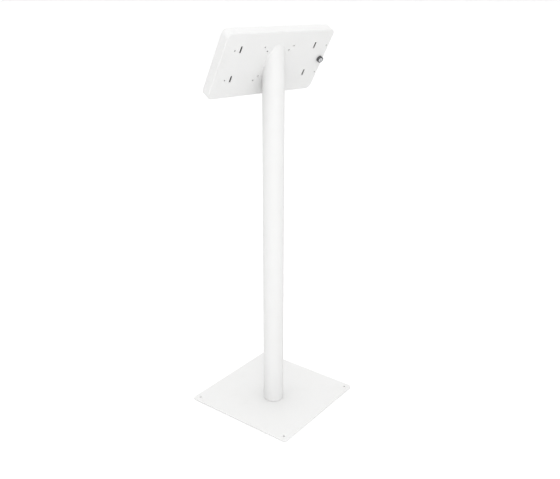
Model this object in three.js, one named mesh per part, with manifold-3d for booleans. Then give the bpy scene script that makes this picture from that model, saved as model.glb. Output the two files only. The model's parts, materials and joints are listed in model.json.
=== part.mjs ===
// Floor-standing customer pole display: a square steel plate, one round column with its top cut
// to a slant, and a tray-shaped head that holds a flat display behind a locking front frame.
//
// Millimetres, +Z up. The origin is on the floor, under the plate's middle. The display faces -Y.
// The head's own frame is (u, v, n): u to the left of a person reading the display's back from
// behind, towards -X, v up along the head's back, and n out of the back, away from the display.

import * as THREE from 'three';
import { mergeVertices } from 'three/addons/utils/BufferGeometryUtils.js';
import Module from 'manifold-3d';

const wasm = await Module();
wasm.setup();

// Driving dimensions

const GAP = 0.3; // left between pieces that touch or turn in each other
const REACH = 400; // of a tool that cuts away everything on one side
const OVERRUN = 10; // of a bent slab, past the front that is then cut flat

const PLATE_SIDE = 360;
const PLATE_THICKNESS = 5;
const PLATE_CORNER_RADIUS = 10;
const PLATE_HOLE_PITCH = 326;
const PLATE_HOLE_RADIUS = 3.5;
const PLATE_TURN = THREE.MathUtils.degToRad(10.7);

const COLUMN_X = 17; // of the column's axis, from the plate's middle
const COLUMN_Y = 19;
const COLUMN_RADIUS = 30;
const COLUMN_WALL = 2;
const COLUMN_SIDES = 64;
const FOOT_DISC_THICKNESS = 12;
const TOP_PLATE_THICKNESS = 5;

const BOLT_RADIUS = 4;
const BOLT_HEAD_RADIUS = 8;
const BOLT_HEAD_HEIGHT = 4;
const BOLT_LENGTH = 20;

const HEAD_HEIGHT = 1024.3; // where the column's axis meets the head's back
const HEAD_TILT = THREE.MathUtils.degToRad(30.6); // of the head's back, from upright
const HEAD_WIDTH = 366;
const HEAD_DEPTH = 192;
const HEAD_THICKNESS = 26.7;
const HEAD_DROP = 2.6; // of the head's outline, below the column's axis along the back
const HEAD_CORNER_RADIUS = 15;
const SHEET = 1.5;
const BEND_RADIUS = 2.5;

const VESA_PITCHES = [75, 100];
const VESA_HOLE_RADIUS = 2.2;
const CABLE_HOLE_RADIUS = 11;
const HEAD_SCREW_U = 13;
const HEAD_SCREW_V = 24;
const HEAD_SCREW_HOLE_RADIUS = 2.8;

const SLOT_PITCH_U = 256;
const SLOT_PITCH_V = 87;
const SLOT_RISE = 4; // of the slots' centre, above the column's axis along the back
const SLOT_WIDTH = 5.4;
const SLOT_LENGTH = 19;

const BRACKET_SCREW_DROP = 2.5; // below the slot's middle
const BRACKET_SCREW_U = { left: -146.3, right: 174 };
const BRACKET_HOLE_RADIUS = 2;

const LOCK_U = 168;
const LOCK_V = 3;
const LOCK_HEAD_RADIUS = 9;
const LOCK_HEAD_HEIGHT = 8.5;
const LOCK_THREAD_RADIUS = 8;
const LOCK_FLATS = 14.4;
const LOCK_DEPTH = 15.5; // of the barrel's inner end, behind the head's back
const PLUG_RADIUS = 5;
const CAM_THICKNESS = 1.5;
const CAM_REACH = 12.9;
const CAM_WIDTH = 10;
const PLUG_SQUARE = 6; // across the flats, where the cam sits

const FRAME_CLEARANCE = 0.5;
const FRAME_LIP = 10;
const WINDOW_WIDTH = 214;
const WINDOW_HEIGHT = 160;
const WINDOW_CORNER_RADIUS = 5;
const GASKET_THICKNESS = 1;

const HINGE_LENGTH = 150;
const HINGE_KNUCKLES = 9;
const KNUCKLE_RADIUS = 2.5;
const HINGE_PIN_RADIUS = 1.2;
const LEAF_THICKNESS = 1.2;
const LEAF_WIDTH = 12;

const DISPLAY_WIDTH = 249;
const DISPLAY_HEIGHT = 174;
const DISPLAY_CORNER_RADIUS = 10;
const GLASS_THICKNESS = 1.2;
const PANEL_THICKNESS = 2;
const PANEL_MARGIN_U = 4; // of the panel and the gasket, outside the window
const PANEL_MARGIN_V = 2;
const CELL_THICKNESS = 2;
const CASE_WALL = 1.2;
const CASE_BEND = 1.5;
const PORT_WIDTH = 9;
const PORT_HEIGHT = 2.6;

// Derived places, measured along n unless the name says otherwise

const BORE_RADIUS = COLUMN_RADIUS - COLUMN_WALL;
const COLUMN_FOOT = PLATE_THICKNESS + GAP;
const HEAD_FRONT = -HEAD_THICKNESS;
const SHELL_FLOOR = -SHEET;
const FRAME_BACK = HEAD_FRONT + SHEET;
const GASKET_FRONT = FRAME_BACK + GAP;
const GLASS_FRONT = GASKET_FRONT + GASKET_THICKNESS + GAP;
const CASE_FRONT = GLASS_FRONT + GLASS_THICKNESS + GAP;
const CELL_FRONT = CASE_FRONT + PANEL_THICKNESS + GAP;
const CASE_FLOOR = CELL_FRONT + CELL_THICKNESS + GAP;
const CASE_BACK = CASE_FLOOR + CASE_WALL;
const SHELL_WALL_U = -HEAD_WIDTH / 2 + SHEET;
const HINGE_U = SHELL_WALL_U + FRAME_CLEARANCE + KNUCKLE_RADIUS;
const HINGE_N = HEAD_FRONT + KNUCKLE_RADIUS;
const FRAME_EDGE_U = HINGE_U + KNUCKLE_RADIUS + GAP;
const CAM_BACK = -LOCK_DEPTH - 2.4;
const CAM_FRONT = CAM_BACK - CAM_THICKNESS;

// Solid tools

function toSolid(geometry) {
  const bare = geometry.clone();
  bare.deleteAttribute('normal');
  bare.deleteAttribute('uv');
  const merged = mergeVertices(bare, 1e-5);
  const mesh = new wasm.Mesh({
    numProp: 3,
    vertProperties: merged.attributes.position.array,
    triVerts: new Uint32Array(merged.index.array),
  });
  return new wasm.Manifold(mesh);
}

function toGeometry(solid) {
  const mesh = solid.getMesh();
  const geometry = new THREE.BufferGeometry();
  geometry.setAttribute('position', new THREE.BufferAttribute(mesh.vertProperties, 3));
  geometry.setIndex(new THREE.BufferAttribute(mesh.triVerts, 1));
  geometry.computeVertexNormals();
  return geometry;
}

function cut(body, ...tools) {
  return tools.reduce((rest, tool) => rest.subtract(toSolid(tool)), toSolid(body));
}

function join(...geometries) {
  return geometries.map(toSolid).reduce((whole, piece) => whole.add(piece));
}

function box(x0, x1, y0, y1, z0, z1) {
  const geometry = new THREE.BoxGeometry(x1 - x0, y1 - y0, z1 - z0);
  return geometry.translate((x0 + x1) / 2, (y0 + y1) / 2, (z0 + z1) / 2);
}

function rod(radius, z0, z1, sides = 24, x = 0, y = 0) {
  const geometry = new THREE.CylinderGeometry(radius, radius, z1 - z0, sides);
  return geometry.rotateX(Math.PI / 2).translate(x, y, (z0 + z1) / 2);
}

function turned(profile, sides = 24) {
  const points = profile.map(([radius, height]) => new THREE.Vector2(radius, height));
  return new THREE.LatheGeometry(points, sides).rotateX(Math.PI / 2);
}

function roundedRectangle(width, height, radius, x = 0, y = 0) {
  const shape = new THREE.Shape();
  const right = width / 2 - radius;
  const top = height / 2 - radius;
  shape.absarc(x + right, y + top, radius, 0, Math.PI / 2);
  shape.absarc(x - right, y + top, radius, Math.PI / 2, Math.PI);
  shape.absarc(x - right, y - top, radius, Math.PI, 1.5 * Math.PI);
  shape.absarc(x + right, y - top, radius, 1.5 * Math.PI, 2 * Math.PI);
  shape.closePath();
  return shape;
}

function slab(shape, z0, z1) {
  const options = { depth: z1 - z0, bevelEnabled: false, curveSegments: 4 };
  return new THREE.ExtrudeGeometry(shape, options).translate(0, 0, z0);
}

// A slab whose far edge, at z1, is bent over on a radius
function bentSlab(shape, z0, z1, radius) {
  const options = {
    depth: z1 - z0 - 2 * radius,
    bevelThickness: radius,
    bevelSize: radius,
    bevelOffset: -radius,
    bevelSegments: 3,
    curveSegments: 4,
  };
  return new THREE.ExtrudeGeometry(shape, options).translate(0, 0, z0 + radius);
}

// Materials, one for each finish

function finish(color, roughness, metalness) {
  return new THREE.MeshStandardMaterial({ color, roughness, metalness });
}

const whitePaint = () => finish(0xf2f2f1, 0.55, 0);
const zincSteel = () => finish(0xc3c6c9, 0.35, 1);
const blackSteel = () => finish(0x2b2b2d, 0.45, 0.9);
const chrome = () => finish(0xd6d8da, 0.12, 1);
const rubber = () => finish(0x1b1b1c, 0.85, 0);
const foam = () => finish(0x2a2a2b, 0.95, 0);
const darkGlass = () => finish(0x07080a, 0.05, 0);
const anodised = () => finish(0xa9abad, 0.4, 0.9);
const boardGreen = () => finish(0x1c5b3a, 0.5, 0);
const cellFilm = () => finish(0x1c1c1e, 0.6, 0);

function piece(name, shape, material) {
  const geometry = shape.isBufferGeometry ? shape : toGeometry(shape);
  const mesh = new THREE.Mesh(geometry, material);
  mesh.name = name;
  return mesh;
}

// Base, in the object's own frame

// The column's place along the plate's own edges
function columnOnPlate() {
  const place = new THREE.Vector2(COLUMN_X, COLUMN_Y);
  return place.rotateAround(new THREE.Vector2(), -PLATE_TURN);
}

function basePlate() {
  const outline = roundedRectangle(PLATE_SIDE, PLATE_SIDE, PLATE_CORNER_RADIUS);
  const sheet = slab(outline, 0, PLATE_THICKNESS);
  const half = PLATE_HOLE_PITCH / 2;
  const holes = [];
  for (const x of [-half, half]) {
    for (const y of [-half, half]) {
      holes.push(rod(PLATE_HOLE_RADIUS, -1, PLATE_THICKNESS + 1, 20, x, y));
    }
  }
  const bolt = columnOnPlate();
  const bore = rod(BOLT_RADIUS + GAP, -1, PLATE_THICKNESS + 1, 24, bolt.x, bolt.y);
  const countersink = turned([
    [0, -1],
    [BOLT_HEAD_RADIUS + GAP, -1],
    [BOLT_HEAD_RADIUS + GAP, GAP],
    [BOLT_RADIUS, GAP + BOLT_HEAD_HEIGHT + GAP],
    [0, GAP + BOLT_HEAD_HEIGHT + GAP],
  ]).translate(bolt.x, bolt.y, 0);
  const mesh = piece('base_plate', cut(sheet, ...holes, bore, countersink), whitePaint());
  mesh.rotation.z = PLATE_TURN;
  return mesh;
}

// Column, in a frame on its own axis

// Countersunk bolt with a hexagon socket, up through the plate into the column's foot
function centreBolt() {
  const socketRadius = 2.9;
  const socketDepth = 2.5;
  const blank = turned([
    [0, GAP],
    [BOLT_HEAD_RADIUS, GAP],
    [BOLT_RADIUS, GAP + BOLT_HEAD_HEIGHT],
    [BOLT_RADIUS, BOLT_LENGTH - 1],
    [BOLT_RADIUS - 1, BOLT_LENGTH],
    [0, BOLT_LENGTH],
  ]);
  const socket = rod(socketRadius, -1, GAP + socketDepth, 6);
  return piece('centre_bolt', cut(blank, socket), zincSteel());
}

function columnFootDisc() {
  const disc = rod(BORE_RADIUS - GAP, COLUMN_FOOT, COLUMN_FOOT + FOOT_DISC_THICKNESS, 48);
  const thread = rod(BOLT_RADIUS + GAP, 0, REACH);
  return piece('column_foot_disc', cut(disc, thread), zincSteel());
}

// Everything on the display's side of a plane that lies this far out from the head's back
function beyondHead(distance) {
  const tool = box(-REACH, REACH, -REACH, REACH, distance - REACH, distance);
  return tool.applyMatrix4(headPlacement());
}

function columnTube() {
  const top = HEAD_HEIGHT + 2 * COLUMN_RADIUS;
  const outside = rod(COLUMN_RADIUS, COLUMN_FOOT, top, COLUMN_SIDES);
  const bore = rod(BORE_RADIUS, 0, top + 1, COLUMN_SIDES);
  return piece('column_tube', cut(outside, bore, beyondHead(GAP)), whitePaint());
}

// Slanted plate in the column's mouth, tapped for the screws that hold the head
function columnTopPlate() {
  const z0 = HEAD_HEIGHT - 2 * COLUMN_RADIUS - TOP_PLATE_THICKNESS;
  const core = rod(BORE_RADIUS - GAP, z0, HEAD_HEIGHT + 2 * COLUMN_RADIUS, 48);
  const inner = GAP + TOP_PLATE_THICKNESS;
  const below = box(-REACH, REACH, -REACH, REACH, inner, inner + REACH);
  const lipClear = 3.5; // round the grommet's lip
  const cableHole = rod(CABLE_HOLE_RADIUS + lipClear, -1, inner + 1, 32);
  const threads = headScrewPlaces().map(([u, v]) => {
    return rod(HEAD_SCREW_HOLE_RADIUS, -1, inner + 1, 16, u, v);
  });
  const tools = [below, cableHole, ...threads].map((tool) => tool.applyMatrix4(headPlacement()));
  return piece('column_top_plate', cut(core, beyondHead(GAP), ...tools), zincSteel());
}

// Head, in its own frame (u, v, n)

function headGroup() {
  const group = new THREE.Group();
  group.position.set(0, 0, HEAD_HEIGHT);
  group.rotation.set(-(Math.PI / 2 + HEAD_TILT), 0, Math.PI);
  return group;
}

function headPlacement() {
  const group = headGroup();
  group.updateMatrix();
  return group.matrix;
}

function headScrewPlaces() {
  const u = HEAD_SCREW_U;
  const v = HEAD_SCREW_V;
  return [[-u, -v], [u, -v], [-u, v], [u, v]];
}

function slotPlaces() {
  const places = [];
  for (const side of ['left', 'right']) {
    for (const row of [-1, 1]) {
      const sign = side === 'right' ? 1 : -1;
      const v = SLOT_RISE + (row * SLOT_PITCH_V) / 2;
      places.push({ side, sign, u: (sign * SLOT_PITCH_U) / 2, v });
    }
  }
  return places;
}

function headOutline(inset, radius = HEAD_CORNER_RADIUS - inset) {
  const width = HEAD_WIDTH - 2 * inset;
  const height = HEAD_DEPTH - 2 * inset;
  return roundedRectangle(width, height, radius, 0, -HEAD_DROP);
}

// The lock's threaded part has two flats, and so does its hole
function flattened(radius, flats, z0, z1) {
  const round = toSolid(rod(radius, z0, z1, 32));
  return toGeometry(round.intersect(toSolid(box(-REACH, REACH, -flats / 2, flats / 2, z0, z1))));
}

function shellHoles() {
  const z0 = SHELL_FLOOR - 1;
  const z1 = 1;
  const tools = [rod(CABLE_HOLE_RADIUS, z0, z1, 32)];
  for (const pitch of VESA_PITCHES) {
    for (const u of [-pitch / 2, pitch / 2]) {
      for (const v of [-pitch / 2, pitch / 2]) {
        tools.push(rod(VESA_HOLE_RADIUS, z0, z1, 16, u, v));
      }
    }
  }
  for (const [u, v] of headScrewPlaces()) {
    tools.push(rod(HEAD_SCREW_HOLE_RADIUS, z0, z1, 16, u, v));
  }
  for (const { side, u, v } of slotPlaces()) {
    const halfWidth = SLOT_WIDTH / 2;
    const halfLength = SLOT_LENGTH / 2;
    tools.push(box(u - halfWidth, u + halfWidth, v - halfLength, v + halfLength, z0, z1));
    tools.push(rod(BRACKET_HOLE_RADIUS, z0, z1, 16, BRACKET_SCREW_U[side], v - BRACKET_SCREW_DROP));
  }
  const lockHole = flattened(LOCK_THREAD_RADIUS + GAP, LOCK_FLATS + 2 * GAP, z0, z1);
  tools.push(lockHole.translate(LOCK_U, LOCK_V, 0));
  return tools;
}

function backShell() {
  const outside = bentSlab(headOutline(0), HEAD_FRONT - OVERRUN, 0, BEND_RADIUS);
  const insideStart = HEAD_FRONT - 2 * OVERRUN;
  const inside = bentSlab(headOutline(SHEET), insideStart, SHELL_FLOOR, BEND_RADIUS - SHEET);
  const front = box(-REACH, REACH, -REACH, REACH, HEAD_FRONT - REACH, HEAD_FRONT);
  return piece('back_shell', cut(outside, inside, front, ...shellHoles()), whitePaint());
}

function headScrews() {
  const headHeight = 3;
  const headRadius = 4.75;
  const headBevel = 0.75;
  const shankRadius = 2.5;
  const shankLength = 10;
  const seat = SHELL_FLOOR - GAP;
  const face = seat - headHeight;
  const blank = turned([
    [0, face],
    [headRadius - headBevel, face],
    [headRadius, face + headBevel],
    [headRadius, seat],
    [shankRadius, seat],
    [shankRadius, seat + shankLength],
    [0, seat + shankLength],
  ], 20);
  const socket = rod(1.7, face - 1, seat - 1.2, 6);
  return headScrewPlaces().map(([u, v], index) => {
    const mesh = piece(`head_screw_${index + 1}`, cut(blank, socket), zincSteel());
    mesh.position.set(u, v, 0);
    return mesh;
  });
}

// Rubber ring round the cable hole, with a lip on each side of the sheet
function cableGrommet() {
  const bore = CABLE_HOLE_RADIUS - 2.5;
  const neck = CABLE_HOLE_RADIUS - GAP;
  const lip = CABLE_HOLE_RADIUS + 2.5;
  const lipHeight = 1.7;
  const bevel = 0.8;
  const inside = SHELL_FLOOR - GAP;
  const ring = turned([
    [bore, inside - lipHeight],
    [lip - bevel, inside - lipHeight],
    [lip, inside - lipHeight + bevel],
    [lip, inside],
    [neck, inside],
    [neck, GAP],
    [lip, GAP],
    [lip, GAP + lipHeight - bevel],
    [lip - bevel, GAP + lipHeight],
    [bore, GAP + lipHeight],
    [bore, inside - lipHeight],
  ], 32);
  return piece('cable_grommet', ring, rubber());
}

// Display, a flat module: glass, panel, cell, board and a shallow case

function displaySlab(width, height, z0, z1, radius) {
  return slab(roundedRectangle(width, height, radius, 0, -HEAD_DROP), z0, z1);
}

function displayCase() {
  const radius = DISPLAY_CORNER_RADIUS;
  const outline = roundedRectangle(DISPLAY_WIDTH, DISPLAY_HEIGHT, radius, 0, -HEAD_DROP);
  const outside = bentSlab(outline, CASE_FRONT - OVERRUN, CASE_BACK, CASE_BEND);
  const width = DISPLAY_WIDTH - 2 * CASE_WALL;
  const height = DISPLAY_HEIGHT - 2 * CASE_WALL;
  const insideFront = CASE_FRONT - 2 * OVERRUN;
  const inside = displaySlab(width, height, insideFront, CASE_FLOOR, radius - CASE_WALL);
  const front = box(-REACH, REACH, -REACH, REACH, CASE_FRONT - REACH, CASE_FRONT);
  const portMiddle = (CASE_FRONT + CASE_FLOOR) / 2;
  const port = box(
    DISPLAY_WIDTH / 2 - 2 * CASE_WALL,
    REACH,
    -HEAD_DROP - PORT_WIDTH / 2,
    -HEAD_DROP + PORT_WIDTH / 2,
    portMiddle - PORT_HEIGHT / 2,
    portMiddle + PORT_HEIGHT / 2,
  );
  return piece('display_case', cut(outside, inside, front, port), anodised());
}

function displayPieces() {
  const glassBack = GLASS_FRONT + GLASS_THICKNESS;
  const panelBack = CASE_FRONT + PANEL_THICKNESS;
  const cellBack = CELL_FRONT + CELL_THICKNESS;
  const radius = DISPLAY_CORNER_RADIUS;
  const halfWidth = 95;
  const cellHeight = 88;
  const boardHeight = 52;
  const cellLow = -DISPLAY_HEIGHT / 2 - HEAD_DROP + 12;
  const boardLow = cellLow + cellHeight + 8;
  const glass = displaySlab(DISPLAY_WIDTH, DISPLAY_HEIGHT, GLASS_FRONT, glassBack, radius);
  const panelWidth = WINDOW_WIDTH + 2 * PANEL_MARGIN_U;
  const panelHeight = WINDOW_HEIGHT + 2 * PANEL_MARGIN_V;
  const panel = displaySlab(panelWidth, panelHeight, CASE_FRONT, panelBack, 3);
  const cell = box(-halfWidth, halfWidth, cellLow, cellLow + cellHeight, CELL_FRONT, cellBack);
  const boardTop = boardLow + boardHeight;
  const board = box(-halfWidth, halfWidth, boardLow, boardTop, CELL_FRONT, cellBack);
  return [
    piece('display_glass', glass, darkGlass()),
    piece('display_panel', panel, cellFilm()),
    piece('display_battery', cell, cellFilm()),
    piece('display_circuit_board', board, boardGreen()),
    displayCase(),
  ];
}

// Four brackets hook into the slots in the shell and hold the display by its short edges

const RISER_INNER = DISPLAY_WIDTH / 2 + 2.2; // from the middle, along u
const LEDGE_LENGTH = 9;
const PAD_THICKNESS = 1.8;
const LEDGE_FRONT = CASE_BACK + GAP + PAD_THICKNESS + GAP;

function bracket({ side, sign, v }, index) {
  const halfTab = SLOT_LENGTH / 2 - 2.5;
  const outer = RISER_INNER + SHEET;
  const screwU = Math.abs(BRACKET_SCREW_U[side]);
  const floor = SHELL_FLOOR - GAP;
  const top = CASE_FRONT;
  const riser = box(RISER_INNER, outer, -halfTab, halfTab, top, -0.5);
  const ledgeEnd = RISER_INNER - LEDGE_LENGTH;
  const ledge = box(ledgeEnd, outer, -halfTab, halfTab, LEDGE_FRONT, LEDGE_FRONT + SHEET);
  const foot = box(RISER_INNER, screwU + 4.5, -halfTab, halfTab, floor - SHEET, floor);
  const hole = rod(1.8, floor - SHEET - 1, floor + 1, 12, screwU, -BRACKET_SCREW_DROP);
  const shape = join(riser, ledge, foot).subtract(toSolid(hole));
  const handed = sign > 0 ? shape : shape.mirror([1, 0, 0]);
  const mesh = piece(`display_bracket_${index + 1}`, handed, blackSteel());
  mesh.position.set(0, v, 0);
  return mesh;
}

function bracketPad({ sign, v }, index) {
  const halfWidth = SLOT_LENGTH / 2 - 3;
  const inner = RISER_INNER - LEDGE_LENGTH + 0.5;
  const pad = box(inner, RISER_INNER - GAP, -halfWidth, halfWidth, CASE_BACK + GAP, LEDGE_FRONT - GAP);
  const shape = sign > 0 ? toSolid(pad) : toSolid(pad).mirror([1, 0, 0]);
  const mesh = piece(`bracket_pad_${index + 1}`, shape, foam());
  mesh.position.set(0, v, 0);
  return mesh;
}

function bracketScrew({ side, v }, index) {
  const seat = SHELL_FLOOR - GAP - SHEET - GAP;
  const blank = turned([
    [0, seat - 1.8],
    [2.2, seat - 1.8],
    [2.8, seat - 1],
    [2.8, seat],
    [1.5, seat],
    [1.5, -0.3],
    [0, -0.3],
  ], 16);
  const recess = rod(1, seat - 3, seat - 0.8, 6);
  const mesh = piece(`bracket_screw_${index + 1}`, cut(blank, recess), blackSteel());
  mesh.position.set(BRACKET_SCREW_U[side], v - BRACKET_SCREW_DROP, 0);
  return mesh;
}

// Front frame, hinged on the side away from the lock. Its corners on the hinge's side are cut
// back further, so that they clear the shell's corners as it swings

function frameOutline(inset) {
  const shape = new THREE.Shape();
  const hingeRadius = HEAD_CORNER_RADIUS;
  const lockRadius = HEAD_CORNER_RADIUS - SHEET - FRAME_CLEARANCE - inset;
  const right = HEAD_WIDTH / 2 - SHEET - FRAME_CLEARANCE - inset - lockRadius;
  const left = FRAME_EDGE_U + hingeRadius;
  const half = HEAD_DEPTH / 2 - SHEET - FRAME_CLEARANCE - inset;
  const lockHalf = half - lockRadius;
  const hingeHalf = half - hingeRadius;
  shape.absarc(right, lockHalf - HEAD_DROP, lockRadius, 0, Math.PI / 2);
  shape.absarc(left, hingeHalf - HEAD_DROP, hingeRadius, Math.PI / 2, Math.PI);
  shape.absarc(left, -hingeHalf - HEAD_DROP, hingeRadius, Math.PI, 1.5 * Math.PI);
  shape.absarc(right, -lockHalf - HEAD_DROP, lockRadius, 1.5 * Math.PI, 2 * Math.PI);
  shape.closePath();
  return shape;
}

function frontFrame() {
  const face = slab(frameOutline(0), HEAD_FRONT, FRAME_BACK);
  const lipEnd = FRAME_BACK + FRAME_LIP;
  const lipRing = slab(frameOutline(0), FRAME_BACK - 1, lipEnd);
  const lipInside = slab(frameOutline(SHEET), HEAD_FRONT - 1, lipEnd + 1);
  const lipStart = FRAME_EDGE_U + LEAF_WIDTH + 6;
  const hingeSide = box(-REACH, lipStart, -REACH, REACH, FRAME_BACK, lipEnd + 1);
  const lips = cut(lipRing, lipInside, hingeSide);
  const window = slab(
    roundedRectangle(WINDOW_WIDTH, WINDOW_HEIGHT, WINDOW_CORNER_RADIUS, 0, -HEAD_DROP),
    HEAD_FRONT - 1,
    FRAME_BACK + 1,
  );
  const slotLow = LOCK_V - CAM_WIDTH / 2 - 3;
  const slotHigh = LOCK_V + CAM_WIDTH / 2 + 3;
  const slotClear = 0.8;
  const slotBack = CAM_BACK + slotClear;
  const camSlot = box(LOCK_U, REACH, slotLow, slotHigh, CAM_FRONT - slotClear, slotBack);
  const shape = toSolid(face).add(lips).subtract(toSolid(window)).subtract(toSolid(camSlot));
  return piece('front_frame', shape, whitePaint());
}

// Foam strip round the window, between the frame and the display's glass
function windowGasket() {
  const back = GASKET_FRONT + GASKET_THICKNESS;
  const outside = displaySlab(DISPLAY_WIDTH - 6, DISPLAY_HEIGHT - 2, GASKET_FRONT, back, 8);
  const width = WINDOW_WIDTH + 2 * PANEL_MARGIN_U;
  const height = WINDOW_HEIGHT + 2 * PANEL_MARGIN_V;
  const inside = displaySlab(width, height, GASKET_FRONT - 1, back + 1, 6);
  return piece('window_gasket', cut(outside, inside), foam());
}

function knuckleSpans(first) {
  const pitch = HINGE_LENGTH / HINGE_KNUCKLES;
  const spans = [];
  for (let index = first; index < HINGE_KNUCKLES; index += 2) {
    const start = -HINGE_LENGTH / 2 + index * pitch;
    spans.push([start + GAP / 2, start + pitch - GAP / 2]);
  }
  return spans;
}

// A rod along v, for the hinge
function hingeRod(radius, v0, v1, sides) {
  return rod(radius, v0, v1, sides).rotateX(-Math.PI / 2);
}

function hingeLeaf(name, first, plate, link) {
  const parts = [plate];
  for (const [v0, v1] of knuckleSpans(first)) {
    parts.push(hingeRod(KNUCKLE_RADIUS, v0, v1, 20));
    parts.push(link(v0, v1));
  }
  const bore = hingeRod(HINGE_PIN_RADIUS + GAP, -HINGE_LENGTH, HINGE_LENGTH, 16);
  return piece(name, join(...parts).subtract(toSolid(bore)), zincSteel());
}

// Folded hinge: one leaf lies on the shell's wall, the other on the back of the frame
function hinge() {
  const half = HINGE_LENGTH / 2;
  const wallSide = SHELL_WALL_U + GAP - HINGE_U;
  const clear = KNUCKLE_RADIUS + GAP;
  const caseEnd = clear + LEAF_WIDTH;
  const casePlate = box(wallSide, wallSide + LEAF_THICKNESS, -half, half, clear, caseEnd);
  const caseLink = (v0, v1) => box(wallSide, wallSide + LEAF_THICKNESS, v0, v1, 0, clear + 0.5);
  const frameSide = FRAME_BACK + GAP - HINGE_N;
  const frameEnd = clear + LEAF_WIDTH;
  const framePlate = box(clear, frameEnd, -half, half, frameSide, frameSide + LEAF_THICKNESS);
  const frameLink = (v0, v1) => box(1.7, clear + 0.5, v0, v1, frameSide, frameSide + LEAF_THICKNESS);
  const group = new THREE.Group();
  group.position.set(HINGE_U, -HEAD_DROP, HINGE_N);
  group.add(
    hingeLeaf('hinge_case_leaf', 0, casePlate, caseLink),
    hingeLeaf('hinge_frame_leaf', 1, framePlate, frameLink),
    piece('hinge_pin', hingeRod(HINGE_PIN_RADIUS, -half, half, 16), zincSteel()),
  );
  return group;
}

// Cam lock, in its own frame: n is kept, and its axis is the origin

function lockBarrel() {
  const blank = turned([
    [PLUG_RADIUS + 1 + GAP, LOCK_HEAD_HEIGHT],
    [LOCK_HEAD_RADIUS - 1, LOCK_HEAD_HEIGHT],
    [LOCK_HEAD_RADIUS, LOCK_HEAD_HEIGHT - 1],
    [LOCK_HEAD_RADIUS, GAP],
    [LOCK_THREAD_RADIUS, GAP],
    [LOCK_THREAD_RADIUS, -LOCK_DEPTH],
    [PLUG_RADIUS + GAP, -LOCK_DEPTH],
    [PLUG_RADIUS + GAP, LOCK_HEAD_HEIGHT - 2 - GAP],
    [PLUG_RADIUS + 1 + GAP, LOCK_HEAD_HEIGHT - 2 - GAP],
    [PLUG_RADIUS + 1 + GAP, LOCK_HEAD_HEIGHT],
  ].reverse(), 32);
  const half = LOCK_FLATS / 2;
  const side = (v0, v1) => box(-REACH, REACH, v0, v1, -REACH, 0);
  return piece('lock_barrel', cut(blank, side(half, REACH), side(-REACH, -half)), chrome());
}

function lockNut() {
  const across = 19;
  const top = SHELL_FLOOR - GAP;
  const blank = rod(across / Math.sqrt(3), top - 4, top, 6);
  const bore = rod(LOCK_THREAD_RADIUS + GAP, top - 5, top + 1, 32);
  return piece('lock_nut', cut(blank, bore), zincSteel());
}

// The plug turns in the barrel. It has a keyway at its face and a square at its inner end
function lockPlug() {
  const face = LOCK_HEAD_HEIGHT - 0.4;
  const shoulder = face - 1.6;
  const end = CAM_BACK + GAP;
  const round = turned([
    [0, end],
    [PLUG_RADIUS, end],
    [PLUG_RADIUS, shoulder],
    [PLUG_RADIUS + 1, shoulder],
    [PLUG_RADIUS + 1, face],
    [0, face],
  ], 32);
  const squareHalf = PLUG_SQUARE / 2;
  const square = box(-squareHalf, squareHalf, -squareHalf, squareHalf, CAM_FRONT + GAP, end + 1);
  const keyway = box(-0.9, 0.9, -3.6, 3.6, face - 6, face + 1);
  const thread = rod(2 + GAP, CAM_FRONT - 1, CAM_BACK + 9, 16);
  const shape = join(round, square).subtract(toSolid(keyway)).subtract(toSolid(thread));
  return piece('lock_plug', shape, chrome());
}

// At rest the cam points up along v, clear of the frame's lip. A quarter turn puts it in the lip
function lockCam() {
  const squareHalf = PLUG_SQUARE / 2 + GAP;
  const shape = new THREE.Shape();
  const halfWidth = CAM_WIDTH / 2;
  const shoulder = Math.asin(halfWidth / CAM_REACH);
  shape.absarc(0, 0, CAM_REACH, Math.PI / 2 - shoulder, Math.PI / 2 + shoulder);
  shape.absarc(0, 0, halfWidth, Math.PI, 2 * Math.PI);
  shape.closePath();
  const plate = slab(shape, CAM_FRONT, CAM_BACK);
  const square = box(-squareHalf, squareHalf, -squareHalf, squareHalf, CAM_FRONT - 1, CAM_BACK + 1);
  return piece('lock_cam', cut(plate, square), zincSteel());
}

function camScrew() {
  const seat = CAM_FRONT - GAP;
  const blank = turned([
    [0, seat - 2],
    [3.4, seat - 2],
    [4.4, seat - 1],
    [4.4, seat],
    [2, seat],
    [2, seat + 8],
    [0, seat + 8],
  ], 20);
  const recess = rod(1.3, seat - 4, seat - 0.9, 6);
  return piece('cam_screw', cut(blank, recess), zincSteel());
}

function lock() {
  const group = new THREE.Group();
  group.position.set(LOCK_U, LOCK_V, 0);
  group.add(lockBarrel(), lockNut(), lockPlug(), lockCam(), camScrew());
  return group;
}

// Assembly

const head = headGroup();
const places = slotPlaces();
head.add(
  backShell(),
  ...headScrews(),
  cableGrommet(),
  ...displayPieces(),
  ...places.map(bracket),
  ...places.map(bracketPad),
  ...places.map(bracketScrew),
  frontFrame(),
  windowGasket(),
  hinge(),
  lock(),
);

const column = new THREE.Group();
column.position.set(COLUMN_X, COLUMN_Y, 0);
column.add(centreBolt(), columnFootDisc(), columnTube(), columnTopPlate(), head);

const poleDisplay = new THREE.Group();
poleDisplay.add(basePlate(), column);

export default poleDisplay;
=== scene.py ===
"""Looks of the floor-standing customer pole display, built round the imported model.

Metres, +Z up, the display facing -Y. Small sizes are written in millimetres and scaled by MM.
The head has its own axes: u along its long edges, v up its back, n out of its back.
"""

import json
import math

import bmesh
import bpy
from mathutils import Euler, Matrix, Vector


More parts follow.
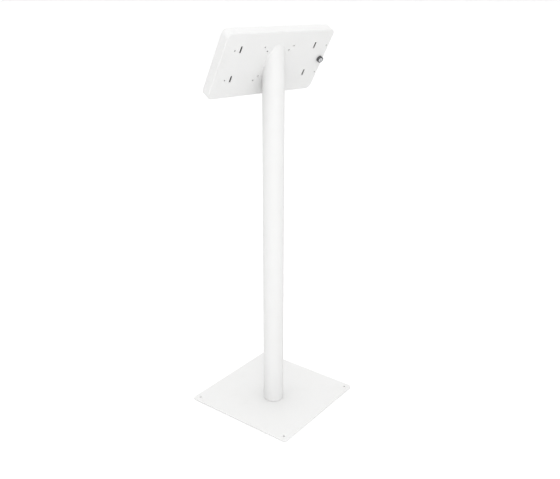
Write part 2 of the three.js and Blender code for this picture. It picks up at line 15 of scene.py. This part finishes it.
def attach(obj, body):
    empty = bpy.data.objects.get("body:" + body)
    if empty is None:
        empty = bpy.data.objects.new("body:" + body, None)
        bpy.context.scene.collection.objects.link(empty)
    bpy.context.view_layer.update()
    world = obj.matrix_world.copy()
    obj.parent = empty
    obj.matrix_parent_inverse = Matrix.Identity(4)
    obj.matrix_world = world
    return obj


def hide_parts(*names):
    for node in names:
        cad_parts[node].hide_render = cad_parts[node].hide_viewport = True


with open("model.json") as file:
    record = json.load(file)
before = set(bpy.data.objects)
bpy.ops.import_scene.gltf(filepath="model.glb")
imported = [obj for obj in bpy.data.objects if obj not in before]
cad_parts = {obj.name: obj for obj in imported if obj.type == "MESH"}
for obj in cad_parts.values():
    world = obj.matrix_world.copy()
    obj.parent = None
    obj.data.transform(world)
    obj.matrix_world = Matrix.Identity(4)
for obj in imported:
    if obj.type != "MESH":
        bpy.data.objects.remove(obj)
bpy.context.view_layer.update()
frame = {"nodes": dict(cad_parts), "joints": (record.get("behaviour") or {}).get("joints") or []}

MM = 0.001

# The photograph's viewpoint

CAMERA_PLACE = (1.215, 1.3642, 1.1919)
CAMERA_HEADING = 137.71  # degrees about Z, from looking along +Y
CAMERA_DROP = 20.15  # degrees below level
CAMERA_ROLL = 0.2
LENS = 42.83
SENSOR_WIDTH = 36.0

# Sizes of the design, in millimetres

GAP = 0.3
TOUCH = 0.02  # left under the bead that closes a gap
PLATE_SIDE = 360
PLATE_THICKNESS = 5
PLATE_CORNER_RADIUS = 10
PLATE_HOLE_PITCH = 326
PLATE_HOLE_RADIUS = 3.5
PLATE_TURN = math.radians(10.7)
BOLT_RADIUS = 4
BOLT_HEAD_RADIUS = 8
BOLT_HEAD_HEIGHT = 4

COLUMN_RADIUS = 30
COLUMN_WALL = 2
COLUMN_SIDES = 192

HEAD_WIDTH = 366
HEAD_DEPTH = 192
HEAD_THICKNESS = 26.7
HEAD_DROP = 2.6
HEAD_CORNER_RADIUS = 15
SHEET = 1.5
BEND_RADIUS = 2.5
VESA_PITCHES = (75, 100)
VESA_HOLE_RADIUS = 2.2
CABLE_HOLE_RADIUS = 11
HEAD_SCREW_U = 13
HEAD_SCREW_V = 24
HEAD_SCREW_HOLE_RADIUS = 2.8

SLOT_PITCH_U = 256
SLOT_PITCH_V = 87
SLOT_RISE = 4
SLOT_WIDTH = 5.4
SLOT_LENGTH = 19
BRACKET_SCREW_DROP = 2.5
BRACKET_SCREW_U = {-1: -146.3, 1: 174}
BRACKET_HOLE_RADIUS = 2

LOCK_U = 168
LOCK_V = 3
LOCK_HEAD_RADIUS = 9
LOCK_HEAD_HEIGHT = 8.5
LOCK_THREAD_RADIUS = 8
LOCK_FLATS = 14.4
LOCK_DEPTH = 15.5
PLUG_RADIUS = 5
PLUG_COLLAR = 1  # the plug's face stands out past its body

DISPLAY_WIDTH = 249
DISPLAY_HEIGHT = 174
DISPLAY_CORNER_RADIUS = 10
GLASS_FRONT = -23.6
GLASS_THICKNESS = 1.2


# The column's place and the head's axes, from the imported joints

def joint(name):
    return next(entry for entry in frame["joints"] if entry["name"] == name)


def head_matrix():
    n = -Vector(joint("lock_turn")["axis"]).normalized()
    v = Vector(joint("door_hinge")["axis"]).normalized()
    u = v.cross(n)
    lock = Vector(joint("lock_turn")["pos_m"])
    origin = lock - u * LOCK_U * MM - v * LOCK_V * MM
    matrix = Matrix((u, v, n)).transposed().to_4x4()
    matrix.translation = origin
    return matrix @ Matrix.Scale(MM, 4)


HEAD = head_matrix()
PLATE = Matrix.Rotation(PLATE_TURN, 4, "Z") @ Matrix.Scale(MM, 4)
COLUMN = Matrix.Translation((*joint("column_turn")["pos_m"][:2], 0)) @ Matrix.Scale(MM, 4)
LOCK = HEAD @ Matrix.Translation((LOCK_U, LOCK_V, 0))


# Camera, lights and floor

def add_camera():
    data = bpy.data.cameras.new("camera")
    data.lens = LENS
    data.sensor_width = SENSOR_WIDTH
    data.clip_end = 200
    camera = bpy.data.objects.new("camera", data)
    turn = Euler((math.radians(90 - CAMERA_DROP), 0, math.radians(CAMERA_HEADING)))
    roll = Matrix.Rotation(math.radians(CAMERA_ROLL), 4, "Z")
    camera.matrix_world = Matrix.Translation(CAMERA_PLACE) @ turn.to_matrix().to_4x4() @ roll
    bpy.context.scene.collection.objects.link(camera)
    bpy.context.scene.camera = camera


def add_softbox(name, place, target, size, power):
    data = bpy.data.lights.new(name, "AREA")
    data.shape = "SQUARE"
    data.size = size
    data.energy = power
    light = bpy.data.objects.new(name, data)
    light.location = place
    light.rotation_euler = (Vector(target) - Vector(place)).to_track_quat("-Z", "Y").to_euler()
    bpy.context.scene.collection.objects.link(light)


def add_lights():
    world = bpy.data.worlds.new("studio")
    world.use_nodes = True
    background = world.node_tree.nodes["Background"]
    background.inputs["Color"].default_value = (1.0, 1.0, 1.0, 1.0)
    background.inputs["Strength"].default_value = 1.5
    bpy.context.scene.world = world
    key_place = (2.05, 2.65, 1.3)  # behind the camera
    mid_column = (0, 0, 0.7)
    add_softbox("key_behind", key_place, mid_column, 1.6, 39)


def choose_tones():
    """Plain tones, so that white stays white."""
    settings = bpy.context.scene.view_settings
    settings.view_transform = "Standard"
    settings.look = "None"


def add_floor():
    """A round floor, in metres, that curves up into a wall all round."""
    sides = 96
    rim = 14
    curve = 3
    curve_steps = 8
    wall_top = 12
    below = -0.0003
    rings = [circle(radius, sides, 0) for radius in (0.02, 0.5, 2, 6, rim)]
    for step in range(1, curve_steps + 1):
        angle = math.pi / 2 * step / curve_steps
        level = curve * (1 - math.cos(angle))
        rings.append(circle(rim + curve * math.sin(angle), sides, level))
    rings.append(circle(rim + curve, sides, wall_top))
    floor = loft("studio_floor", rings, Matrix.Translation((0, 0, below)), caps=(True, False))
    finish_surface(floor, backdrop())


# Mesh tools. Outlines and rings are lists of points; loft joins rings of equal length

def circle(radius, sides, height, centre=(0, 0)):
    points = []
    for side in range(sides):
        angle = 2 * math.pi * side / sides
        x = centre[0] + radius * math.cos(angle)
        y = centre[1] + radius * math.sin(angle)
        points.append((x, y, height))
    return points


def rounded_rectangle(width, height, radius, level, centre=(0, 0), steps=16):
    points = []
    for corner in range(4):
        sign_x = 1 if corner in (0, 3) else -1
        sign_y = 1 if corner in (0, 1) else -1
        x0 = centre[0] + sign_x * (width / 2 - radius)
        y0 = centre[1] + sign_y * (height / 2 - radius)
        for step in range(steps + 1):
            angle = math.pi / 2 * (corner + step / steps)
            points.append((x0 + radius * math.cos(angle), y0 + radius * math.sin(angle), level))
    return points


def add_object(name, mesh, matrix):
    mesh.transform(matrix)
    piece = bpy.data.objects.new(name, mesh)
    bpy.context.scene.collection.objects.link(piece)
    return piece


def loft(name, rings, matrix, caps=(True, True), closed=False):
    work = bmesh.new()
    made = [[work.verts.new(point) for point in ring] for ring in rings]
    pairs = list(zip(made, made[1:]))
    if closed:
        pairs.append((made[-1], made[0]))
    for low, high in pairs:
        count = len(low)
        for index in range(count):
            after = (index + 1) % count
            work.faces.new((low[index], low[after], high[after], high[index]))
    if not closed and caps[0]:
        work.faces.new(made[0])
    if not closed and caps[1]:
        work.faces.new(made[-1])
    bmesh.ops.recalc_face_normals(work, faces=work.faces)
    mesh = bpy.data.meshes.new(name)
    work.to_mesh(mesh)
    work.free()
    return add_object(name, mesh, matrix)


def settle(piece):
    """Applies the piece's modifiers to its mesh."""
    graph = bpy.context.evaluated_depsgraph_get()
    mesh = bpy.data.meshes.new_from_object(piece.evaluated_get(graph))
    piece.modifiers.clear()
    piece.data = mesh


def carve(piece, cutters):
    for cutter in cutters:
        modifier = piece.modifiers.new("cut", "BOOLEAN")
        modifier.operation = "DIFFERENCE"
        modifier.solver = "EXACT"
        modifier.object = cutter
    settle(piece)
    for cutter in cutters:
        bpy.data.objects.remove(cutter)


def soften(piece, width, segments=2, angle=60):
    """Rounds the sharp edges over a width in millimetres."""
    modifier = piece.modifiers.new("edges", "BEVEL")
    modifier.width = width * MM
    modifier.segments = segments
    modifier.limit_method = "ANGLE"
    modifier.angle_limit = math.radians(angle)
    modifier.use_clamp_overlap = True
    settle(piece)


def finish_surface(piece, material):
    mesh = piece.data
    mesh.materials.clear()
    mesh.materials.append(material)
    mesh.shade_smooth()
    mesh.set_sharp_from_angle(angle=math.radians(40))
    modifier = piece.modifiers.new("normals", "WEIGHTED_NORMAL")
    modifier.keep_sharp = True


def peg(radius, z0, z1, matrix, centre=(0, 0), sides=32):
    rings = [circle(radius, sides, z0, centre), circle(radius, sides, z1, centre)]
    return loft("cutter", rings, matrix)


def block(x0, x1, y0, y1, z0, z1, matrix, radius=0.6):
    centre = ((x0 + x1) / 2, (y0 + y1) / 2)
    rings = [rounded_rectangle(x1 - x0, y1 - y0, radius, z, centre, 4) for z in (z0, z1)]
    return loft("cutter", rings, matrix)


def spin(name, profile, matrix, closed=True):
    rings = [circle(radius, 96, height) for radius, height in profile]
    return loft(name, rings, matrix, closed=closed)


def place_piece(piece, body, slot_name, *nodes):
    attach(piece, body)
    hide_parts(*nodes)


# Material tools

class Surface:
    """A node-based material, with short helpers for its nodes and links."""

    def __init__(self, name, color, roughness, metallic=0.0):
        self.material = bpy.data.materials.new(name)
        self.material.use_nodes = True
        self.nodes = self.material.node_tree.nodes
        self.links = self.material.node_tree.links
        self.shader = self.nodes["Principled BSDF"]
        self.set("Base Color", (*color, 1.0))
        self.set("Roughness", roughness)
        self.set("Metallic", metallic)
        self.place = self.nodes.new("ShaderNodeTexCoord").outputs["Object"]

    def set(self, socket, value):
        self.shader.inputs[socket].default_value = value

    def noise(self, scale, detail=2.0, roughness=0.5, stretch=None):
        node = self.nodes.new("ShaderNodeTexNoise")
        node.inputs["Scale"].default_value = scale
        node.inputs["Detail"].default_value = detail
        node.inputs["Roughness"].default_value = roughness
        self.links.new(self.stretched(stretch), node.inputs["Vector"])
        return node.outputs["Fac"]

    def cells(self, scale, feature="F1"):
        node = self.nodes.new("ShaderNodeTexVoronoi")
        node.feature = feature
        node.inputs["Scale"].default_value = scale
        self.links.new(self.place, node.inputs["Vector"])
        return node.outputs["Distance"]

    def stretched(self, stretch):
        if stretch is None:
            return self.place
        node = self.nodes.new("ShaderNodeMapping")
        node.inputs["Scale"].default_value = stretch
        self.links.new(self.place, node.inputs["Vector"])
        return node.outputs["Vector"]

    def between(self, value, low, high, start=0.3, end=0.7):
        node = self.nodes.new("ShaderNodeMapRange")
        node.inputs["From Min"].default_value = start
        node.inputs["From Max"].default_value = end
        node.inputs["To Min"].default_value = low
        node.inputs["To Max"].default_value = high
        self.links.new(value, node.inputs["Value"])
        return node.outputs["Result"]

    def blend(self, value, first, second):
        node = self.nodes.new("ShaderNodeMix")
        node.data_type = "RGBA"
        node.inputs["A"].default_value = (*first, 1.0)
        node.inputs["B"].default_value = (*second, 1.0)
        self.links.new(value, node.inputs["Factor"])
        return node.outputs["Result"]

    def drive(self, socket, value):
        self.links.new(value, self.shader.inputs[socket])

    def bump(self, *layers):
        """Each layer is (height, depth in millimetres)."""
        normal = None
        for height, depth in layers:
            node = self.nodes.new("ShaderNodeBump")
            node.inputs["Strength"].default_value = 1.0
            node.inputs["Distance"].default_value = depth * MM
            self.links.new(height, node.inputs["Height"])
            if normal is not None:
                self.links.new(normal, node.inputs["Normal"])
            normal = node.outputs["Normal"]
        self.links.new(normal, self.shader.inputs["Normal"])


# Materials

COAT_SPECULAR = 0.25


def powder_coat():
    """Satin white powder coat: a fine orange peel over a grain, and faint uneven gloss."""
    surface = Surface("white_powder_coat", (0.63, 0.63, 0.627), 0.5)
    surface.set("Specular IOR Level", COAT_SPECULAR)
    tone = surface.between(surface.noise(7, 4), 0.0, 1.0)
    surface.drive("Base Color", surface.blend(tone, (0.624, 0.624, 0.619), (0.636, 0.636, 0.634)))
    surface.drive("Roughness", surface.between(surface.noise(45, 3), 0.42, 0.55))
    peel = surface.noise(420, 1.5)
    grain = surface.noise(2600, 2.0, 0.6)
    surface.bump((peel, 0.05), (grain, 0.012))
    return surface.material


def scuffed_powder_coat():
    """The base plate's coat, with faint rubbed patches and hairline scratches."""
    surface = Surface("white_powder_coat_floor_plate", (0.63, 0.63, 0.627), 0.5)
    surface.set("Specular IOR Level", COAT_SPECULAR)
    rubbed = surface.between(surface.noise(14, 5, 0.65), 0.0, 1.0, 0.52, 0.75)
    surface.drive("Base Color", surface.blend(rubbed, (0.636, 0.636, 0.632), (0.62, 0.619, 0.613)))
    surface.drive("Roughness", surface.between(rubbed, 0.5, 0.4, 0.0, 1.0))
    peel = surface.noise(420, 1.5)
    grain = surface.noise(2600, 2.0, 0.6)
    scratch = surface.between(surface.noise(60, 2, 0.4, (1, 24, 1)), 0.0, 1.0, 0.66, 0.7)
    surface.bump((peel, 0.05), (grain, 0.012), (scratch, -0.01))
    return surface.material


def zinc_plate():
    surface = Surface("zinc_plate", (0.62, 0.64, 0.66), 0.34, 1.0)
    spangle = surface.between(surface.cells(260), 0.0, 1.0, 0.1, 0.8)
    surface.drive("Base Color", surface.blend(spangle, (0.55, 0.57, 0.58), (0.7, 0.71, 0.72)))
    surface.drive("Roughness", surface.between(surface.noise(700, 3), 0.26, 0.46))
    surface.bump((surface.noise(1500, 3, 0.6), 0.01))
    return surface.material


def black_oxide():
    surface = Surface("black_oxide_steel", (0.045, 0.045, 0.05), 0.45, 0.85)
    tone = surface.between(surface.noise(900, 3), 0.0, 1.0)
    surface.drive("Base Color", surface.blend(tone, (0.03, 0.03, 0.033), (0.075, 0.073, 0.072)))
    surface.drive("Roughness", surface.between(surface.noise(1400, 2), 0.36, 0.56))
    surface.bump((surface.noise(2200, 2), 0.008))
    return surface.material


def polished_chrome(name, tone):
    """Chrome. Its base colour, set by the tone, is a painted reflection of how dark a room it
    mirrors.
    """
    surface = Surface(name, (tone, tone * 1.01, tone * 1.04), 0.1, 1.0)
    smear = surface.between(surface.noise(300, 4, 0.6), 0.0, 1.0)
    surface.drive("Roughness", surface.between(smear, 0.05, 0.16, 0.0, 1.0))
    hairline = surface.between(surface.noise(900, 2, 0.5, (1, 1, 9)), 0.0, 1.0, 0.6, 0.75)
    surface.bump((hairline, -0.003))
    return surface.material


def moulded_rubber():
    surface = Surface("moulded_rubber", (0.025, 0.025, 0.026), 0.8)
    surface.drive("Roughness", surface.between(surface.noise(500, 3), 0.7, 0.9))
    surface.bump((surface.noise(1800, 3, 0.6), 0.03))
    return surface.material


def cellular_foam():
    surface = Surface("cellular_foam", (0.03, 0.03, 0.032), 0.95)
    cell = surface.between(surface.cells(1600), 0.0, 1.0, 0.1, 0.7)
    surface.drive("Base Color", surface.blend(cell, (0.012, 0.012, 0.013), (0.05, 0.05, 0.052)))
    surface.bump((cell, 0.12), (surface.noise(3000, 2), 0.03))
    return surface.material


def cover_glass():
    """Dark when the display is off, with faint smears that show mostly in its gloss."""
    surface = Surface("cover_glass", (0.006, 0.0065, 0.008), 0.04)
    smear = surface.between(surface.noise(22, 5, 0.62, (1, 2.2, 1)), 0.0, 1.0, 0.42, 0.72)
    surface.drive("Roughness", surface.between(smear, 0.025, 0.13, 0.0, 1.0))
    clean = (0.006, 0.0065, 0.008)
    smeared = (0.011, 0.0115, 0.013)
    surface.drive("Base Color", surface.blend(smear, clean, smeared))
    surface.set("IOR", 1.5)
    surface.set("Coat Weight", 0.3)
    surface.set("Coat Roughness", 0.03)
    return surface.material


def panel_film():
    surface = Surface("panel_film", (0.02, 0.02, 0.022), 0.35)
    surface.drive("Roughness", surface.between(surface.noise(120, 3), 0.28, 0.45))
    surface.bump((surface.noise(900, 2), 0.01))
    return surface.material


def blasted_aluminium():
    surface = Surface("blasted_aluminium", (0.56, 0.57, 0.58), 0.42, 0.95)
    surface.drive("Roughness", surface.between(surface.noise(1200, 2), 0.36, 0.5))
    surface.bump((surface.noise(2400, 2, 0.7), 0.012))
    return surface.material


def circuit_board():
    surface = Surface("circuit_board", (0.02, 0.16, 0.07), 0.35)
    track = surface.between(surface.cells(180, "DISTANCE_TO_EDGE"), 0.0, 1.0, 0.02, 0.09)
    surface.drive("Base Color", surface.blend(track, (0.06, 0.3, 0.12), (0.015, 0.13, 0.05)))
    surface.bump((track, -0.03))
    return surface.material


def backdrop():
    """Matt white floor, lifted a little by its own glow so that it stays pale all round."""
    surface = Surface("studio_white", (0.67, 0.67, 0.67), 0.9)
    surface.set("Specular IOR Level", 0.0)
    tone = surface.between(surface.noise(3, 3), 0.0, 1.0)
    surface.drive("Base Color", surface.blend(tone, (0.665, 0.665, 0.665), (0.675, 0.675, 0.675)))
    surface.set("Emission Color", (1.0, 1.0, 1.0, 1.0))
    surface.set("Emission Strength", 0.2)
    return surface.material


# Pieces

def floor_plate(material):
    """The base plate, with the soft edges that a powder coat gives to cut steel."""
    edge = 0.6
    edge_steps = 3
    foot_side = PLATE_SIDE - 2 * edge
    corner = PLATE_CORNER_RADIUS
    rings = [
        rounded_rectangle(foot_side, foot_side, corner - edge, 0),
        rounded_rectangle(PLATE_SIDE, PLATE_SIDE, corner, edge),
        rounded_rectangle(PLATE_SIDE, PLATE_SIDE, corner, PLATE_THICKNESS - edge),
    ]
    for step in range(1, edge_steps + 1):
        angle = math.pi / 2 * step / edge_steps
        shrink = edge * (1 - math.cos(angle))
        level = PLATE_THICKNESS - edge * (1 - math.sin(angle))
        side = PLATE_SIDE - 2 * shrink
        rings.append(rounded_rectangle(side, side, corner - shrink, level))
    plate = loft("floor_plate", rings, PLATE)
    half = PLATE_HOLE_PITCH / 2
    cutters = [
        peg(PLATE_HOLE_RADIUS, -1, PLATE_THICKNESS + 1, PLATE, (x, y), 48)
        for x in (-half, half)
        for y in (-half, half)
    ]
    countersink = [
        circle(BOLT_HEAD_RADIUS + GAP, 64, -1),
        circle(BOLT_HEAD_RADIUS + GAP, 64, GAP),
        circle(BOLT_RADIUS + GAP, 64, GAP + BOLT_HEAD_HEIGHT),
        circle(BOLT_RADIUS + GAP, 64, PLATE_THICKNESS + 1),
    ]
    cutters.append(loft("cutter", countersink, COLUMN))
    carve(plate, cutters)
    soften(plate, 0.35)
    finish_surface(plate, material)
    place_piece(plate, "base", "white_paint", "base_plate")


def column_body(material):
    """The round tube. Its top follows the head's back, with a painted weld bead between them."""
    n = HEAD.to_3x3().col[2].normalized()
    origin = COLUMN.inverted() @ HEAD.translation

    def slant(point, back):
        x, y = point[0], point[1]
        z = origin.z + (GAP + back - n.x * x - n.y * y) / n.z
        return (x, y, z)

    foot = PLATE_THICKNESS + GAP
    edge = 0.4
    bead = 1.6
    bead_steps = 6
    outer = COLUMN_RADIUS
    inner = COLUMN_RADIUS - COLUMN_WALL
    sides = COLUMN_SIDES
    rings = [circle(outer - edge, sides, foot), circle(outer, sides, foot + edge)]
    for step in range(bead_steps + 1):
        angle = math.pi / 2 * step / bead_steps
        flare = bead * (1 - math.cos(angle))
        back = bead * (1 - math.sin(angle)) + TOUCH - GAP
        rings.append([slant(point, back) for point in circle(outer + flare, sides, 0)])
    rings.append([slant(point, 0) for point in circle(inner, sides, 0)])
    rings.append(circle(inner, sides, foot))
    tube = loft("column_body", rings, COLUMN, closed=True)
    finish_surface(tube, material)
    place_piece(tube, "column", "white_paint", "column_tube")


def slot_rows():
    for sign in (-1, 1):
        for row in (-1, 1):
            yield sign, SLOT_RISE + row * SLOT_PITCH_V / 2


def shell_cutters():
    low = -SHEET - 1
    cutters = [peg(CABLE_HOLE_RADIUS, low, 1, HEAD, sides=48)]
    for pitch in VESA_PITCHES:
        half = pitch / 2
        for u in (-half, half):
            for v in (-half, half):
                cutters.append(peg(VESA_HOLE_RADIUS, low, 1, HEAD, (u, v)))
    for u in (-HEAD_SCREW_U, HEAD_SCREW_U):
        for v in (-HEAD_SCREW_V, HEAD_SCREW_V):
            cutters.append(peg(HEAD_SCREW_HOLE_RADIUS, low, 1, HEAD, (u, v)))
    for sign, v in slot_rows():
        u = sign * SLOT_PITCH_U / 2
        u_ends = (u - SLOT_WIDTH / 2, u + SLOT_WIDTH / 2)
        v_ends = (v - SLOT_LENGTH / 2, v + SLOT_LENGTH / 2)
        cutters.append(block(*u_ends, *v_ends, low, 1, HEAD))
        screw = (BRACKET_SCREW_U[sign], v - BRACKET_SCREW_DROP)
        cutters.append(peg(BRACKET_HOLE_RADIUS, low, 1, HEAD, screw))
    cutters.append(lock_hole(low))
    return cutters


def lock_hole(low):
    """A round hole with two flats."""
    radius = LOCK_THREAD_RADIUS + GAP
    flat = LOCK_FLATS / 2 + GAP
    rings = []
    for level in (low, 1):
        points = circle(radius, 64, level)
        rings.append([(x, max(-flat, min(flat, y)), z) for x, y, z in points])
    return loft("cutter", rings, LOCK)


def head_shell(material):
    """The head's tray: one sheet with its edges bent forward on a small radius."""
    bend_steps = 8

    def outline(inset, level):
        width = HEAD_WIDTH - 2 * inset
        height = HEAD_DEPTH - 2 * inset
        radius = HEAD_CORNER_RADIUS - inset
        return rounded_rectangle(width, height, radius, level, (0, -HEAD_DROP), 20)

    def bend(wall_inset, floor_level, radius):
        """Rings from the tray's floor to its wall."""
        made = []
        for step in range(bend_steps + 1):
            angle = math.pi / 2 * step / bend_steps
            inset = wall_inset + radius * (1 - math.sin(angle))
            level = floor_level - radius * (1 - math.cos(angle))
            made.append(outline(inset, level))
        return made

    rim = 0.3
    rings = bend(0, 0, BEND_RADIUS)
    rings.append(outline(0, rim - HEAD_THICKNESS))
    rings.append(outline(rim, -HEAD_THICKNESS))
    rings.append(outline(SHEET - rim, -HEAD_THICKNESS))
    rings.append(outline(SHEET, rim - HEAD_THICKNESS))
    rings.extend(reversed(bend(SHEET, -SHEET, BEND_RADIUS - SHEET)))
    shell = loft("head_shell", rings, HEAD)
    carve(shell, shell_cutters())
    soften(shell, 0.18)
    finish_surface(shell, material)
    place_piece(shell, "column", "white_paint", "back_shell")


def lock_body(material):
    """The lock's chrome body, with a rolled edge, a stepped mouth and a threaded shank."""
    top = LOCK_HEAD_HEIGHT
    mouth = PLUG_RADIUS + PLUG_COLLAR + GAP
    mouth_depth = 2 + GAP
    mouth_bevel = 0.5
    foot_bevel = 0.4
    roll = 1.2
    roll_steps = 8
    profile = [(mouth, top - mouth_bevel), (mouth + mouth_bevel, top)]
    for step in range(roll_steps + 1):
        angle = math.pi / 2 * step / roll_steps
        radius = LOCK_HEAD_RADIUS - roll * (1 - math.sin(angle))
        profile.append((radius, top - roll * (1 - math.cos(angle))))
    profile += [
        (LOCK_HEAD_RADIUS, GAP + foot_bevel),
        (LOCK_HEAD_RADIUS - foot_bevel, GAP),
        (LOCK_THREAD_RADIUS, GAP),
    ]
    pitch = 1.0
    depth = 0.3
    level = -0.6
    while level > -LOCK_DEPTH + pitch:
        profile.append((LOCK_THREAD_RADIUS, level))
        profile.append((LOCK_THREAD_RADIUS - depth, level - pitch / 2))
        level -= pitch
    profile += [
        (LOCK_THREAD_RADIUS, -LOCK_DEPTH),
        (PLUG_RADIUS + GAP, -LOCK_DEPTH),
        (PLUG_RADIUS + GAP, top - mouth_depth),
        (mouth, top - mouth_depth),
    ]
    body = spin("lock_body", profile, LOCK)
    side = LOCK_FLATS / 2
    reach = 20  # past the lock on every side
    cutters = [
        block(-reach, reach, side, reach, -reach, 0, LOCK),
        block(-reach, reach, -reach, -side, -reach, 0, LOCK),
    ]
    carve(body, cutters)
    finish_surface(body, material)
    place_piece(body, "column", "chrome", "lock_barrel")


def lock_core(material):
    """The plug that the key turns, with a shallow dish and a keyway in its face."""
    face = LOCK_HEAD_HEIGHT - 0.4
    shoulder = face - 1.6
    end = -LOCK_DEPTH - 2.4 + GAP
    middle = 0.4  # radius of the flat cap at each end
    collar = PLUG_RADIUS + PLUG_COLLAR
    end_bevel = 0.2
    face_bevel = 0.3
    dish = face - 0.25
    profile = [
        (middle, end),
        (PLUG_RADIUS - end_bevel, end),
        (PLUG_RADIUS, end + end_bevel),
        (PLUG_RADIUS, shoulder),
        (collar, shoulder),
        (collar, face - face_bevel),
        (collar - face_bevel, face),
        (PLUG_RADIUS - 0.6, face),
        (PLUG_RADIUS - 1.0, dish),
        (middle, dish),
    ]
    core = spin("lock_core", profile, LOCK, closed=False)
    keyway_end = face - 6
    above = face + 1
    cutters = [
        block(-0.55, 0.55, -3.4, 3.4, keyway_end, above, LOCK, 0.2),
        block(-1.1, 1.1, -1.4, 0.6, keyway_end, above, LOCK, 0.2),
    ]
    carve(core, cutters)
    soften(core, 0.08, 1, 50)
    finish_surface(core, material)
    place_piece(core, "lock", "chrome", "lock_plug")


def glass_cover(material):
    """The display's cover glass, with a ground and rounded edge."""
    back = GLASS_FRONT + GLASS_THICKNESS
    back_bevel = 0.1
    edge = 0.45
    edge_steps = 4

    def outline(inset, level):
        width = DISPLAY_WIDTH - 2 * inset
        height = DISPLAY_HEIGHT - 2 * inset
        radius = DISPLAY_CORNER_RADIUS - inset
        return rounded_rectangle(width, height, radius, level, (0, -HEAD_DROP), 20)

    rings = []
    for step in range(edge_steps + 1):
        angle = math.pi / 2 * step / edge_steps
        inset = edge * (1 - math.sin(angle))
        rings.append(outline(inset, GLASS_FRONT + edge * (1 - math.cos(angle))))
    rings.append(outline(0, back - back_bevel))
    rings.append(outline(back_bevel, back))
    glass = loft("glass_cover", rings, HEAD)
    finish_surface(glass, material)
    place_piece(glass, "column", "display_glass", "display_glass")


# CAD nodes that keep their own shape

def dress(node, material, edge=0.15):
    """Gives a CAD node its finish, and rounds its edges with modifiers over its unchanged mesh."""
    piece = frame["nodes"][node]
    piece.data.materials.clear()
    piece.data.materials.append(material)
    for polygon in piece.data.polygons:
        polygon.use_smooth = True
    weld = piece.modifiers.new("weld", "WELD")
    weld.merge_threshold = 0.002 * MM
    flat = piece.modifiers.new("flat", "DECIMATE")
    flat.decimate_type = "DISSOLVE"
    flat.angle_limit = math.radians(0.5)
    bevel = piece.modifiers.new("edges", "BEVEL")
    bevel.width = edge * MM
    bevel.segments = 2
    bevel.limit_method = "ANGLE"
    bevel.angle_limit = math.radians(40)
    split = piece.modifiers.new("split", "EDGE_SPLIT")
    split.split_angle = math.radians(38)
    piece.modifiers.new("normals", "WEIGHTED_NORMAL")


def numbered(stem, count=4):
    return [f"{stem}_{index + 1}" for index in range(count)]


def dress_nodes(white):
    zinc = zinc_plate()
    foam = cellular_foam()
    oxide = black_oxide()
    film = panel_film()
    dress("front_frame", white, 0.25)
    for node in ["centre_bolt", "column_foot_disc", "column_top_plate"]:
        dress(node, zinc)
    for node in ["lock_nut", "lock_cam", "cam_screw"]:
        dress(node, zinc)
    for node in ["hinge_case_leaf", "hinge_frame_leaf", "hinge_pin"]:
        dress(node, zinc, 0.1)
    for node in numbered("head_screw"):
        dress(node, zinc)
    for node in numbered("bracket_pad") + ["window_gasket"]:
        dress(node, foam, 0.2)
    for node in numbered("bracket_screw") + numbered("display_bracket"):
        dress(node, oxide)
    dress("cable_grommet", moulded_rubber(), 0.1)
    dress("display_case", blasted_aluminium(), 0.1)
    dress("display_panel", film, 0.1)
    dress("display_battery", film, 0.1)
    dress("display_circuit_board", circuit_board(), 0.1)


# Scene

add_camera()
add_lights()
choose_tones()
add_floor()

white_coat = powder_coat()
floor_plate(scuffed_powder_coat())
column_body(white_coat)
head_shell(white_coat)
# Both chromes' base colours are painted reflections: dark on the barrel, lighter on the plug.
lock_body(polished_chrome("chrome_barrel", 0.14))
lock_core(polished_chrome("chrome_plug", 0.6))
glass_cover(cover_glass())
dress_nodes(white_coat)
